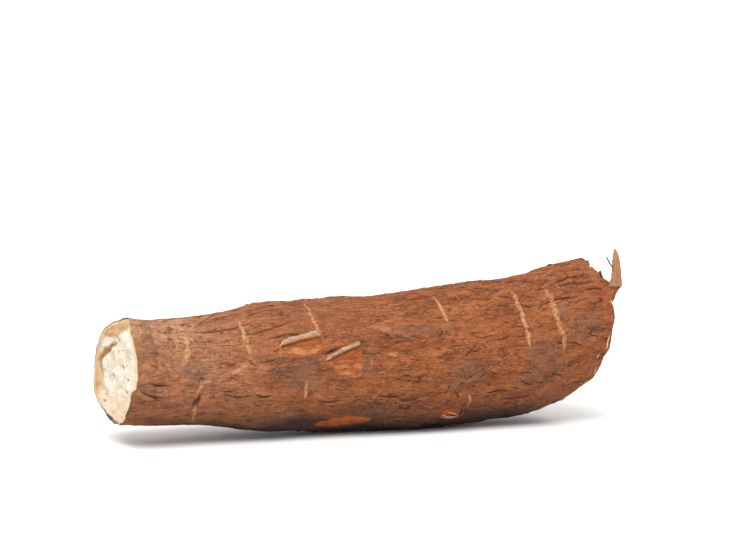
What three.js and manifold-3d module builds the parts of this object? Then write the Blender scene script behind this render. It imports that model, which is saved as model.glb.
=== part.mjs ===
import * as THREE from "three";
import { mergeVertices } from "three/addons/utils/BufferGeometryUtils.js";
import Module from "manifold-3d";

// A thick cassava root lying on its side, with both ends cut or snapped off.
// Sizes are in millimetres and angles in degrees. X runs along the root towards
// its thick end and Z is up. A place on the bark is [x, angle], where the angle
// goes round the axis from the far side (0) over the top (90) to the near side
// (180) and on to the underside (270).

// Axis and mean radius at stations an equal distance apart.
const FIRST_STATION = -126;
const STATION_STEP = 24;
const AXIS_Y = [-2.5, -1, 1, 2.5, 3, 2.5, 1.5, 0, -2, -3.5, -4, -3.5];
const AXIS_Z = [38, 34.5, 33.5, 33.5, 34, 34, 33, 34.5, 37.5, 40, 46.5, 47.5];
const RADIUS = [26, 25, 26, 30, 31.5, 33, 34, 34, 33.5, 34, 33.5, 34];

// The body is moved by this much at the end, to centre it over the origin.
const PLACE = new THREE.Vector3(-5.15, 0.8, -0.8);

// Facets: places round the bark, rows along it, rings across each end face.
const AROUND = 64;
const ALONG = 50;
const END_RINGS = 6;

// The section isn't quite round: shares of the radius, in two and in three waves.
const OVAL_SHARE = 0.018;
const THREE_SIDED_SHARE = 0.014;

// Relief of the bark: height of broad lumps, depth of lengthwise wrinkles, and
// a lift that keeps the mean radius.
const LUMP_HEIGHT = 0.45;
const WRINKLE_DEPTH = 0.3;
const BARK_LIFT = 0.2;

// Deep creases on the upper near side, from one x on and in full from another.
const CREASE_DEPTH = 0.9;
const CREASE_FROM = 60;
const CREASE_FULL = 105;
const CREASE_ANGLE = 115;
const CREASE_SPREAD = 30;

// The step in thickness on the upper side, near the thin end.
const SHOULDER_X = -51;
const SHOULDER_LENGTH = 12.5;
const SHOULDER_HEIGHT = 2;
const SHOULDER_ANGLE = 90;
const SHOULDER_SPREAD = 50;

// The thin end is sawn a little askew. A tan lobe of cortex covers the top of
// the cut, and a groove parts the flesh from a strip along the far edge.
const THIN_CUT_X = -117.8;
const THIN_CUT_SLANT = 3;
const LOBE_BEVEL = 5.5;
const LOBE_ANGLE = 84;
const LOBE_SPREAD = 32;
const LOBE_STEP = 0.9;
const LOBE_BOTTOM = 15.5;
const LOBE_NEAR_SIDE = -13;
const FAR_STRIP_DEPTH = 0.9;
const FAR_STRIP_RADIUS = 20.2;
const FAR_STRIP_ACROSS = 10;
const CORNER_HEIGHT = 2.6;
const CORNER_ANGLE = 328;
const CORNER_SPREAD = 28;

// On the near side the bark reaches further over the cut below a small step.
const NOTCH_DEPTH = 2;
const NOTCH_FROM = 193;
const NOTCH_FULL = 198;
const NOTCH_FADES = 226;
const NOTCH_TO = 258;

// Path of the groove, across and up from the axis, and its section.
const GROOVE = [[-1, 12.5], [3, 11.6], [7, 10], [13, 7.5], [17, 5], [18.3, 1.5], [18.6, -3], [17, -8]];
const GROOVE_WIDTH = 2;
const GROOVE_DEPTH = 1.5;
const CUT_ROUGHNESS = 0.3;

// The thick end is snapped off askew, with coarse fibrous flesh.
const THICK_BREAK_X = 118.5;
const THICK_BREAK_RISE = 9.3;
const THICK_BREAK_SLANT = 6.3;
const BREAK_INSET = 2;
const BREAK_ROUGHNESS = 1.2;
const TONGUE_HEIGHT = 3;
const TONGUE_ACROSS = 6;
const TONGUE_UP = -8;
const TONGUE_WIDTH = 10;
const TONGUE_LENGTH = 14;
const RIM_RAGGED = 0.8;
const RIM_SWELL = 1.5;
const RIM_SWELL_ANGLE = 215;
const RIM_BITE = 3;
const RIM_BITE_ANGLE = 252;
const RIM_SPREAD = 23;

// Raised corky scars that cross the bark, each with its width and height.
const SCARS = [
  { path: [[-89.5, 117], [-89.5, 126], [-89, 136], [-89, 149], [-92, 165]], width: 2.2, height: 0.6 },
  { path: [[-61, 120], [-60.5, 136], [-60.5, 148], [-60, 156]], width: 1.3, height: 0.4 },
  { path: [[-24, 98], [-25, 115], [-25.5, 130], [-25, 140], [-24, 149]], width: 1.9, height: 0.6 },
  { path: [[39, 110], [39.5, 120], [40, 128], [40.5, 140]], width: 1.5, height: 0.5 },
  { path: [[78, 116], [78.5, 128], [79, 141], [79.5, 159], [80, 170]], width: 1.6, height: 0.5 },
  { path: [[95, 126], [95.5, 135], [95.5, 147], [96, 159], [98, 172], [98.5, 181]], width: 2, height: 0.6 },
  { path: [[-83, 183], [-84.5, 191], [-85.5, 198], [-86, 214], [-84.5, 236]], width: 1.8, height: 0.6 },
  { path: [[50.5, 207], [51, 215], [50.5, 222]], width: 1.5, height: 0.5 },
  { path: [[-47, 262], [-47.5, 290], [-46, 320]], width: 1.8, height: 0.4 },
  { path: [[66, 300], [67, 330], [66, 360], [67.5, 385]], width: 1.8, height: 0.5 },
  { path: [[-70, 330], [-71, 358], [-70, 390]], width: 1.8, height: 0.5 },
  { path: [[12, 345], [11, 372], [12, 402]], width: 1.8, height: 0.5 },
];

// Places where the bark has peeled, as outlines on the surface.
const PEEL_DEPTH = 0.8;
const PEELED = [
  [[-45, 150], [-44.5, 158], [-40, 163], [-34, 164], [-28, 163], [-25, 158], [-24.5, 152],
    [-30, 148], [-38, 149]],
  [[-24, 169], [-21, 174], [-18, 181], [-14, 184.5], [-9, 184.5], [-6, 180], [-5, 173], [-6, 163], [-6, 157],
    [-12, 159], [-18, 163]],
  [[-22, 230], [-16, 225], [-9, 223], [-2, 225], [2, 229], [-3, 235], [-10, 238], [-17, 236]],
  [[37, 225], [40, 219], [45, 219], [49, 225], [48, 234], [41, 232]],
];

// Curled bark above the two largest peeled places: path, and radius of the roll
// at its two ends.
const CURLS = [
  { path: [[-45.5, 155], [-43, 151.5], [-37.5, 149], [-30.5, 147], [-24, 146]], radii: [0.7, 1.6] },
  { path: [[-23.5, 169], [-19, 164.5], [-13, 160.5], [-8, 158], [-4.5, 156]], radii: [0.7, 1.2] },
];

// A splinter of bark stands up from the rim of the broken end. Its sections
// give height above its root, the two edges across, and how far it leans back.
const SPLINTER_FOOT = [126.5, 139];
const SPLINTER_TURN = -22;
const SPLINTER_THICKNESS = 1.3;
const SPLINTER_SECTIONS = [
  [-11.5, -2.5, 1.4, 0.8],
  [-6.1, -3.5, 3.3, 0.5],
  [-3.8, -3.5, 3.8, 0.3],
  [-1.1, -1.5, 5.4, 0],
  [0.4, -0.3, 6.7, 0],
  [1.6, 0.2, 6.9, 0.8],
  [5, 1.2, 6.5, 1],
  [9.5, 1.9, 6.1, 1.6],
  [13.5, 2.6, 5.1, 2.4],
  [18.8, 3.6, 4.2, 3.4],
];

const DEGREE = Math.PI / 180;

// Length of one degree round the bark, at its usual radius.
const MM_PER_DEGREE = 0.55;

// Lengths of the facets along a scar and along a curl.
const SCAR_SPACING = 3.6;
const CURL_SPACING = 2.4;

// Repeatable random numbers from 0 to 1.
function seeded(seed) {
  let state = seed >>> 0;
  return () => {
    state = (state + 0x6d2b79f5) >>> 0;
    let t = state;
    t = Math.imul(t ^ (t >>> 15), t | 1);
    t ^= t + Math.imul(t ^ (t >>> 7), t | 61);
    return ((t ^ (t >>> 14)) >>> 0) / 4294967296;
  };
}

// A set of waves over the bark: whole turns round it and a wavelength along it.
function waveSet(seed, count, turns, lengths) {
  const random = seeded(seed);
  return Array.from({ length: count }, () => {
    const around = Math.floor(turns[0] + random() * (turns[1] - turns[0] + 1));
    const length = lengths[0] + random() * (lengths[1] - lengths[0]);
    const sign = random() < 0.5 ? 1 : -1;
    return { around, along: (sign * 2 * Math.PI) / length, phase: random() * 2 * Math.PI };
  });
}

function waveHeight(waves, x, angle) {
  const sum = waves.reduce(
    (total, w) => total + Math.cos(w.around * angle * DEGREE + w.along * x + w.phase),
    0,
  );
  return sum * Math.sqrt(2 / waves.length);
}

const LUMPS = waveSet(11, 12, [1, 4], [70, 220]);
const WRINKLES = waveSet(29, 36, [7, 18], [45, 160]);
const CUT_WAVES = waveSet(5, 10, [1, 6], [9, 26]);
const BREAK_WAVES = waveSet(17, 14, [2, 6], [14, 40]);
const CREASES = waveSet(41, 14, [15, 22], [70, 220]);

// Smooth value at x between the stations of a list.
function between(list, x) {
  const place = THREE.MathUtils.clamp((x - FIRST_STATION) / STATION_STEP, 0, list.length - 1.000001);
  const i = Math.floor(place);
  const f = place - i;
  const at = (j) => list[THREE.MathUtils.clamp(j, 0, list.length - 1)];
  const [a, b, c, d] = [at(i - 1), at(i), at(i + 1), at(i + 2)];
  return b + 0.5 * f * (c - a + f * (2 * a - 5 * b + 4 * c - d + f * (3 * (b - c) + d - a)));
}

// 1 at an angle and falling to 0 on both sides of it.
function bell(angle, centre, width) {
  const turned = (((angle - centre + 180) % 360) + 360) % 360;
  return Math.exp(-(((turned - 180) / width) ** 2));
}

function smoothStep(from, to, value) {
  return THREE.MathUtils.smoothstep(value, from, to);
}

// Deep lengthwise creases on the upper near side of the thick end.
function creaseDepth(x, angle) {
  const share = smoothStep(CREASE_FROM, CREASE_FULL, x) * bell(angle, CREASE_ANGLE, CREASE_SPREAD);
  return CREASE_DEPTH * share * Math.abs(waveHeight(CREASES, x, angle));
}

function barkRadius(x, angle) {
  const a = angle * DEGREE;
  const oval = OVAL_SHARE * Math.cos(2 * (a - 0.6 - 0.008 * x));
  const threeSided = THREE_SIDED_SHARE * Math.cos(3 * (a + 1.1 + 0.011 * x));
  const s = (x - SHOULDER_X) / SHOULDER_LENGTH;
  const shoulder = SHOULDER_HEIGHT * s * Math.exp(-s * s) * bell(angle, SHOULDER_ANGLE, SHOULDER_SPREAD);
  const relief =
    LUMP_HEIGHT * waveHeight(LUMPS, x, angle) -
    WRINKLE_DEPTH * Math.abs(waveHeight(WRINKLES, x, angle)) +
    BARK_LIFT -
    creaseDepth(x, angle);
  return between(RADIUS, x) * (1 + oval + threeSided) + relief + shoulder;
}

// Point on the bark, or lifted out of it by some millimetres.
function onBark(x, angle, lift = 0) {
  const r = barkRadius(x, angle) + lift;
  const a = angle * DEGREE;
  return new THREE.Vector3(x, between(AXIS_Y, x) + r * Math.cos(a), between(AXIS_Z, x) + r * Math.sin(a));
}

// Where the bark ends at each angle, at the thin and the thick end.
function thinRim(angle) {
  const turned = ((angle % 360) + 360) % 360;
  const notch = smoothStep(NOTCH_FROM, NOTCH_FULL, turned) * (1 - smoothStep(NOTCH_FADES, NOTCH_TO, turned));
  return (
    THIN_CUT_X -
    THIN_CUT_SLANT * Math.cos(angle * DEGREE) +
    LOBE_BEVEL * bell(angle, LOBE_ANGLE, LOBE_SPREAD) -
    NOTCH_DEPTH * notch -
    CORNER_HEIGHT * bell(angle, CORNER_ANGLE, CORNER_SPREAD)
  );
}

function thickRim(angle) {
  return (
    THICK_BREAK_X +
    THICK_BREAK_RISE * Math.sin(angle * DEGREE) -
    THICK_BREAK_SLANT * Math.cos(angle * DEGREE) +
    RIM_SWELL * bell(angle, RIM_SWELL_ANGLE, RIM_SPREAD) -
    RIM_BITE * bell(angle, RIM_BITE_ANGLE, RIM_SPREAD) +
    RIM_RAGGED * Math.sin(11 * angle * DEGREE) * Math.sin(3 * angle * DEGREE)
  );
}

// Height of the cut flesh at (across, up) from the axis, at the thin end.
function thinFace(across, up) {
  const slant = (-THIN_CUT_SLANT * across) / RADIUS[0];
  const isLobe = smoothStep(LOBE_NEAR_SIDE - 2, LOBE_NEAR_SIDE + 2, across);
  const lobe = smoothStep(LOBE_BOTTOM - 0.8, LOBE_BOTTOM + 0.8, up) * isLobe;
  const bevel = LOBE_BEVEL * smoothStep(LOBE_BOTTOM, RADIUS[0], up);
  const isFar = smoothStep(FAR_STRIP_ACROSS - 4, FAR_STRIP_ACROSS + 4, across);
  const farStrip = smoothStep(FAR_STRIP_RADIUS - 1.2, FAR_STRIP_RADIUS + 1.2, Math.hypot(across, up)) * isFar;
  const rough = CUT_ROUGHNESS * waveHeight(CUT_WAVES, up, across * 6);
  return THIN_CUT_X + slant - LOBE_STEP * lobe + bevel - FAR_STRIP_DEPTH * farStrip + rough;
}

// Height of the broken flesh at the thick end.
function thickFace(across, up) {
  const slant = (THICK_BREAK_RISE * up - THICK_BREAK_SLANT * across) / RADIUS.at(-1);
  const offTongue = ((across - TONGUE_ACROSS) / TONGUE_WIDTH) ** 2 + ((up - TONGUE_UP) / TONGUE_LENGTH) ** 2;
  const tongue = TONGUE_HEIGHT * Math.exp(-offTongue);
  const rough = BREAK_ROUGHNESS * waveHeight(BREAK_WAVES, up, across * 4);
  return THICK_BREAK_X + slant + tongue - BREAK_INSET + rough;
}

// A closed solid from rings of points, each ring turning the same way, capped
// by a fan at each end.
function skinOf(rings, firstTip, lastTip) {
  const count = rings[0].length;
  const points = [...rings.flat(), firstTip, lastTip];
  const faces = [];
  rings.slice(1).forEach((_, i) => {
    for (let j = 0; j < count; j += 1) {
      const k = (j + 1) % count;
      const [a, b] = [i * count + j, i * count + k];
      faces.push(a, b, a + count, b, b + count, a + count);
    }
  });
  const last = (rings.length - 1) * count;
  for (let j = 0; j < count; j += 1) {
    const k = (j + 1) % count;
    faces.push(points.length - 2, k, j, points.length - 1, last + j, last + k);
  }
  const geometry = new THREE.BufferGeometry().setFromPoints(points);
  geometry.setIndex(faces);
  return geometry;
}

function centreOf(ring) {
  return ring.reduce((sum, p) => sum.add(p), new THREE.Vector3()).divideScalar(ring.length);
}

// The whole root: the end faces are rings that close in from each rim.
function rootGeometry() {
  const angles = Array.from({ length: AROUND }, (_, j) => (360 * j) / AROUND);
  const bark = Array.from({ length: ALONG + 1 }, (_, i) =>
    angles.map((angle) => onBark(THREE.MathUtils.lerp(thinRim(angle), thickRim(angle), i / ALONG), angle)),
  );
  const endRings = (rim, faceHeight) => {
    const middleX = rim.reduce((sum, p) => sum + p.x, 0) / rim.length;
    const centre = new THREE.Vector3(middleX, between(AXIS_Y, middleX), between(AXIS_Z, middleX));
    const ringAt = (share) =>
      rim.map((p) => {
        const across = (p.y - centre.y) * share;
        const up = (p.z - centre.z) * share;
        const x = THREE.MathUtils.lerp(p.x, faceHeight(across, up), smoothStep(0, 0.3, 1 - share));
        return new THREE.Vector3(x, centre.y + across, centre.z + up);
      });
    const shares = Array.from({ length: END_RINGS }, (_, k) => 1 - ((k + 1) / (END_RINGS + 1)) ** 1.15);
    const tip = new THREE.Vector3(faceHeight(0, 0), centre.y, centre.z);
    return { rings: shares.map(ringAt), tip };
  };
  const thin = endRings(bark[0], thinFace);
  const thick = endRings(bark.at(-1), thickFace);
  return skinOf([...thin.rings.reverse(), ...bark, ...thick.rings], thin.tip, thick.tip);
}

// Places evenly spread along a smooth path on the bark.
function pathPlaces(path, spacing) {
  const laidFlat = path.map(([x, angle]) => new THREE.Vector3(x, angle * MM_PER_DEGREE, 0));
  const curve = new THREE.CatmullRomCurve3(laidFlat);
  const count = Math.max(3, Math.round(curve.getLength() / spacing));
  return curve.getSpacedPoints(count).map((p) => [p.x, p.y / MM_PER_DEGREE]);
}

// A ridge or roll that follows a path on the bark. The section is a list of
// [across, out] in shares of the width and height at that place.
function alongBark(path, spacing, section, sizeAt) {
  const places = pathPlaces(path, spacing);
  const middle = places.map(([x, angle]) => onBark(x, angle));
  const rings = middle.map((point, i) => {
    const ahead = middle[Math.min(i + 1, middle.length - 1)];
    const behind = middle[Math.max(i - 1, 0)];
    const forward = ahead.clone().sub(behind).normalize();
    const a = places[i][1] * DEGREE;
    const out = new THREE.Vector3(0, Math.cos(a), Math.sin(a));
    const side = new THREE.Vector3().crossVectors(out, forward).normalize();
    const [width, height] = sizeAt(i / (middle.length - 1));
    return section.map(([across, up]) =>
      point.clone().addScaledVector(side, across * width).addScaledVector(out, up * height),
    );
  });
  return skinOf(rings, centreOf(rings[0]), centreOf(rings.at(-1)));
}

const SCAR_SECTION = [[0.5, -0.7], [0.25, 1], [-0.2, 0.9], [-0.5, -0.7]];
const CURL_SECTION = [[1, -0.2], [0.75, 0.75], [0, 1.2], [-0.75, 0.7], [-1, -0.2], [0, -0.9]];

function scarGeometry({ path, width, height }) {
  return alongBark(path, SCAR_SPACING, SCAR_SECTION, (t) => {
    const swell = Math.sin(Math.PI * (0.12 + 0.76 * t));
    return [width * swell, height * swell];
  });
}

function curlGeometry({ path, radii }) {
  return alongBark(path, CURL_SPACING, CURL_SECTION, (t) => {
    const roundEnds = 0.45 + 0.55 * smoothStep(0, 0.12, Math.min(t, 1 - t));
    const radius = THREE.MathUtils.lerp(radii[0], radii[1], t) * roundEnds;
    return [radius, radius];
  });
}

// The space over a peeled place, down to the peel's depth.
function peelTool(outline) {
  const count = outline.length;
  const middle = outline.reduce(([x, a], p) => [x + p[0] / count, a + p[1] / count], [0, 0]);
  const ringAt = (share, lift) =>
    outline.map(([x, angle]) =>
      onBark(middle[0] + (x - middle[0]) * share, middle[1] + (angle - middle[1]) * share, lift),
    );
  const rings = [
    ringAt(0.5, -PEEL_DEPTH),
    ringAt(0.93, -PEEL_DEPTH),
    ringAt(1.04, 2),
    ringAt(0.5, 2.5),
  ];
  return skinOf(rings, onBark(middle[0], middle[1], -PEEL_DEPTH), onBark(middle[0], middle[1], 3));
}

// The groove across the cut face, as a bar that follows its path.
function grooveTool() {
  const path = GROOVE.map(([across, up]) => new THREE.Vector2(across, up));
  const places = new THREE.SplineCurve(path).getPoints(12);
  const axisY = between(AXIS_Y, THIN_CUT_X);
  const axisZ = between(AXIS_Z, THIN_CUT_X);
  const rings = places.map((p, i) => {
    const ahead = places[Math.min(i + 1, places.length - 1)];
    const behind = places[Math.max(i - 1, 0)];
    const side = ahead.clone().sub(behind).normalize().rotateAround(new THREE.Vector2(), Math.PI / 2);
    const swell = 0.3 + 0.7 * Math.sin((Math.PI * (i + 1)) / (places.length + 1));
    const bottom = thinFace(p.x, p.y) + GROOVE_DEPTH * swell;
    const half = (GROOVE_WIDTH / 2) * swell;
    return [[-1, -4], [1, -4], [0.5, 0], [-0.5, 0]].map(([across, rise]) => {
      const q = p.clone().addScaledVector(side, across * half);
      return new THREE.Vector3(bottom + rise, axisY + q.x, axisZ + q.y);
    });
  });
  return skinOf(rings, centreOf(rings[0]), centreOf(rings.at(-1)));
}

function splinterGeometry() {
  const foot = onBark(...SPLINTER_FOOT);
  const turn = SPLINTER_TURN * DEGREE;
  const across = new THREE.Vector3(Math.cos(turn), Math.sin(turn), 0);
  const back = new THREE.Vector3(-Math.sin(turn), Math.cos(turn), 0);
  const half = SPLINTER_THICKNESS / 2;
  const rings = SPLINTER_SECTIONS.map(([height, near, far, lean]) => {
    const thin = half * (1 - 0.6 * smoothStep(6, 17, height));
    const middle = (near + far) / 2;
    const front = [[near, -thin * 0.6], [middle, -thin], [far, -thin * 0.5]];
    return [...front, [far, thin * 0.5], [near, thin]].map(([side, depth]) =>
      foot
        .clone()
        .addScaledVector(across, side)
        .addScaledVector(back, depth + lean)
        .setZ(foot.z + height),
    );
  });
  return skinOf(rings, centreOf(rings[0]), centreOf(rings.at(-1)));
}

const wasm = await Module();
wasm.setup();

function solidOf(geometry) {
  const plain = geometry.clone();
  plain.deleteAttribute("normal");
  plain.deleteAttribute("uv");
  const merged = mergeVertices(plain, 1e-4);
  const solid = new wasm.Manifold(
    new wasm.Mesh({
      numProp: 3,
      vertProperties: new Float32Array(merged.attributes.position.array),
      triVerts: new Uint32Array(merged.index.array),
    }),
  );
  if (solid.volume() > 0) return solid;
  const flipped = new Uint32Array(merged.index.array);
  for (let i = 0; i < flipped.length; i += 3) {
    [flipped[i + 1], flipped[i + 2]] = [flipped[i + 2], flipped[i + 1]];
  }
  return new wasm.Manifold(
    new wasm.Mesh({
      numProp: 3,
      vertProperties: new Float32Array(merged.attributes.position.array),
      triVerts: flipped,
    }),
  );
}

// The finished body, set on the ground: what reaches below it is flattened.
function placedGeometry(solid) {
  const { vertProperties, triVerts, numProp } = solid.getMesh();
  const positions = [];
  for (let i = 0; i < vertProperties.length; i += numProp) {
    positions.push(
      vertProperties[i] + PLACE.x,
      vertProperties[i + 1] + PLACE.y,
      Math.max(vertProperties[i + 2] + PLACE.z, 0),
    );
  }
  const geometry = new THREE.BufferGeometry();
  geometry.setAttribute("position", new THREE.Float32BufferAttribute(positions, 3));
  geometry.setIndex(new THREE.Uint32BufferAttribute(triVerts, 1));
  geometry.computeVertexNormals();
  return geometry;
}

let body = solidOf(rootGeometry());
for (const outline of PEELED) body = body.subtract(solidOf(peelTool(outline)));
body = body.subtract(solidOf(grooveTool()));
for (const scar of SCARS) body = body.add(solidOf(scarGeometry(scar)));
for (const curl of CURLS) body = body.add(solidOf(curlGeometry(curl)));
body = body.add(solidOf(splinterGeometry()));

const barkMaterial = new THREE.MeshStandardMaterial({ color: 0xa06a42, roughness: 0.85, metalness: 0 });
const cassavaRoot = new THREE.Mesh(placedGeometry(body), barkMaterial);
cassavaRoot.name = "cassava_root";

const root = new THREE.Group();
root.add(cassavaRoot);

export default root;
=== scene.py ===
import math

import bpy
import numpy as np
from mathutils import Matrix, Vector


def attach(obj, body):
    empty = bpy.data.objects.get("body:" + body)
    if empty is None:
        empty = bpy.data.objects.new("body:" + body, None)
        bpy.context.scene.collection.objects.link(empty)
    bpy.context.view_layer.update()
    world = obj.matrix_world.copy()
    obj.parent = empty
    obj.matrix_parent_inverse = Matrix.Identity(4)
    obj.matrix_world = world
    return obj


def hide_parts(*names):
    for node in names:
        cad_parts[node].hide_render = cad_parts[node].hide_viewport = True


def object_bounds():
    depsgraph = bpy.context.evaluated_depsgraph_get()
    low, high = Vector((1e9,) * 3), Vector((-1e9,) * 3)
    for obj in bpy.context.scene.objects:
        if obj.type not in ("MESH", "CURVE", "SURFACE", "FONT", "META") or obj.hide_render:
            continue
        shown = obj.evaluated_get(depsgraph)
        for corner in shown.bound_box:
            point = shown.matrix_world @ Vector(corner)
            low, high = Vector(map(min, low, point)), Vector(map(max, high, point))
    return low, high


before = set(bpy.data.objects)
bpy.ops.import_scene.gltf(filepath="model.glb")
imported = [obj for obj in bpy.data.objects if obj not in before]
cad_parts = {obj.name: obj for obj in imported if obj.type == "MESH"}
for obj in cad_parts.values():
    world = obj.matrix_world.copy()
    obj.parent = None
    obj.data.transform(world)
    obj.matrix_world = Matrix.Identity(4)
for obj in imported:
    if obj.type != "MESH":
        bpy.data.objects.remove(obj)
cad_low, cad_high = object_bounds()

# A cassava root lying on its side. The shape is worked out in millimetres, with
# X along the root to its thick end, Z up, and angles in degrees that go round
# the axis from the far side (0) over the top (90) to the near side (180).
MM = 0.001
ROOT = "cassava_root"
BODY = "root"

# How fine the pieces are: rows along and columns round the bark, rings of each
# flesh disc, and how many cracks, flakes and fibres lie on the bark.
BARK_GRID = ((330, 288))
FLESH_RINGS = 60
FLAKE_COUNT = 1900
CRACK_COUNT = 210
FIBRE_COUNT = 95

# Axis and mean radius at stations an equal distance apart, and the step that
# takes the whole shape into the part's frame.
FIRST_STATION = -126
STATION_STEP = 24
AXIS_Y = [-2.5, -1, 1, 2.5, 3, 2.5, 1.5, 0, -2, -3.5, -4, -3.5]
AXIS_Z = [38, 34.5, 33.5, 33.5, 34, 34, 33, 34.5, 37.5, 40, 46.5, 47.5]
RADIUS = [26, 25, 26, 30, 31.5, 33, 34, 34, 33.5, 34, 33.5, 34]
PLACE = np.array([-5.15, 0.8, -0.8])

# Relief of the bark, as in the solid.
LUMP_HEIGHT = 0.45
WRINKLE_DEPTH = 0.3
BARK_LIFT = 0.2
CREASE_DEPTH = 0.9
SHOULDER_X = -51
SHOULDER_LENGTH = 12.5
SHOULDER_HEIGHT = 2

# Fine relief on top of it.
RIDGE_HEIGHT = 0.34
SKIN_STEP = 0.2
GRAIN_HEIGHT = 0.11
SWELL_HEIGHT = 0.3
CRACK_DEPTH = 0.3
FLAKE_THICKNESS = 0.13

# The sawn thin end. An arc is its middle angle and half width.
THIN_CUT_X = -117.8
THIN_CUT_SLANT = 3
CUT_ROUGHNESS = 0.3
CORTEX_STEP = 0.9
FAR_LIP = 2.6
FAR_LIP_ARC = (328, 28)
LOBE_ARC = (84, 32)
LOBE_BEVEL = 5.5
LOBE_STEP = 0.9
LOBE_BOTTOM = 15.5
LOBE_RISE = 3.5
NOTCH_DEPTH = 2
NOTCH_START = (193, 198)
NOTCH_END = (226, 258)
# Groove and specks, as places across and up the face, the specks with a size.
GROOVE = [(-1, 12.5), (3, 11.6), (7, 10), (13, 7.5), (17, 5), (18.3, 1.5), (18.6, -3), (17, -8)]
GROOVE_WIDTH = 2
GROOVE_DEPTH = 1.5
SPECKS = [
    (-7, 2, 1.3), (-12, -9, 0.8), (-4, 14, 0.8), (2, 6, 0.7),
    (3, -3, 0.9), (-14, -3, 0.7), (13, -16, 0.8),
]

# The broken thick end.
THICK_BREAK_X = 118.5
THICK_BREAK_RISE = 9.3
THICK_BREAK_SLANT = 6.3
BREAK_INSET = 2
BREAK_ROUGHNESS = 1.2
BREAK_TONGUE = 3
TONGUE_PLACE = (6, -8)
TONGUE_SIZE = (10, 14)
RIM_WAVE = 0.8
# Where its rim has torn back, or stands out if the depth is below 0: middle
# angle, half width and depth.
RIM_TORN = [(112, 15, 5.2), (129, 7, 2), (155, 6, 1.4), (215, 22, -1.5), (252, 24, 3)]

# Behind both faces: how far in the bark turns and how much narrower it is there,
# how far in the flesh ends, its size there, and its rings for each ring behind.
CAP_RINGS = [(0.6, 0.965), (10, 0.93)]
FLESH_DEPTH = 2.5
FLESH_BACK_SIZE = 0.96
BACK_STEP = 8

# Pale corky scars across the bark: path, width, height.
SCARS = [
    ([(-89.5, 117), (-89.5, 126), (-89, 136), (-89, 149), (-92, 165)], 2.0, 0.6),
    ([(-89.5, 128), (-93, 136), (-94, 146)], 1.1, 0.3),
    ([(-89, 126), (-86, 136), (-85, 143)], 1.0, 0.3),
    ([(-61, 120), (-60.8, 136), (-60.2, 148), (-60, 157)], 1.5, 0.45),
    ([(-24, 98), (-25, 115), (-25.5, 130), (-25, 140), (-24, 149)], 1.0, 0.5),
    ([(-22.6, 104), (-23.4, 118), (-23.8, 131), (-23, 142)], 0.8, 0.4),
    ([(39, 110), (39.5, 120), (40, 128), (40.5, 140)], 1.6, 0.45),
    ([(78, 116), (78.5, 128), (79, 141), (79, 148), (79.5, 159), (80, 172)], 1.7, 0.5),
    ([(95, 122), (95.5, 135), (95.5, 147), (96, 159), (98, 172), (98.5, 183)], 2.0, 0.6),
    ([(98.5, 181), (100, 195), (101.5, 208)], 0.9, 0.2),
    ([(-83, 183), (-84.5, 191), (-85.5, 198), (-86, 214), (-84.5, 236)], 1.4, 0.5),
    ([(-81.5, 189), (-75, 181.5), (-66, 172.5)], 0.8, 0.12),
    ([(-69, 175.5), (-65, 172), (-61.5, 168.5)], 1.3, 0.35),
    ([(-33, 186), (-32.8, 195), (-33, 203)], 1.1, 0.3),
    ([(-1, 158), (-1.5, 169), (-1.5, 179)], 0.7, 0.2),
    ([(50.5, 207), (51, 215), (50.5, 222)], 1.2, 0.4),
    ([(22.5, 154), (25.5, 156)], 0.9, 0.3),
    ([(8, 165.8), (11, 167)], 1.5, 0.4),
    ([(58, 188), (62, 184)], 0.9, 0.25),
    ([(75.5, 188), (73.5, 199)], 0.8, 0.2),
    # The next two are pale slivers of loose bark by the curls, partly painted highlight.
    ([(-44, 145), (-40.5, 144.3), (-37, 145.2)], 0.7, 0.2),
    ([(-22.5, 156), (-19, 158)], 0.7, 0.2),
    ([(101, 121.5), (101.5, 128), (102, 132.8)], 0.9, 0.3),
    ([(-47, 262), (-47.5, 290), (-46, 320)], 1.8, 0.4),
    ([(66, 300), (67, 330), (66, 360), (67.5, 385)], 1.8, 0.5),
    ([(-70, 330), (-71, 358), (-70, 390)], 1.8, 0.5),
    ([(12, 345), (11, 372), (12, 402)], 1.8, 0.5),
]

# Places where the bark has peeled: outline, how pale the lower part is, and how
# bright an orange. Under a curl, the darker upper part is partly painted shade.
PEEL_DEPTH = 0.8
PEELED = [
    ([(-45, 150), (-44.5, 158), (-40, 163), (-34, 164), (-28, 163), (-25, 158), (-24.5, 152),
      (-30, 148), (-38, 149)], 1, 0),
    ([(-24, 169), (-21, 174), (-18, 181), (-14, 184.5), (-9, 184.5), (-6, 180), (-5, 173),
      (-6, 163), (-6, 157), (-12, 159), (-18, 163)], 0.3, 0),
    ([(-24.5, 236), (-21.5, 230), (-15, 225.5), (-9, 224), (-2.5, 224.2), (2.8, 225.5), (3, 229.5),
      (0.5, 234.5), (-5.5, 238.5), (-11, 241), (-18, 241), (-23, 239)], 0, 1),
    ([(37, 225), (40, 219), (45, 219), (49, 225), (48, 234), (41, 232)], 0.2, 0.6),
    ([(7, 160.5), (10, 160.8), (13, 162.5), (12.5, 165.5), (7.5, 165)], 0.5, 0),
]
# Bark curled back over two of them: its path, and its radius at the start and the end.
CURLS = [
    ([(-45.5, 155), (-43, 151.5), (-37.5, 149), (-30.5, 147), (-24, 145)], (1.15, 1.65)),
    ([(-24.5, 170.5), (-20, 166), (-15, 162), (-10.5, 159.2), (-6, 156.6)], (0.9, 1.05)),
]
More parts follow.
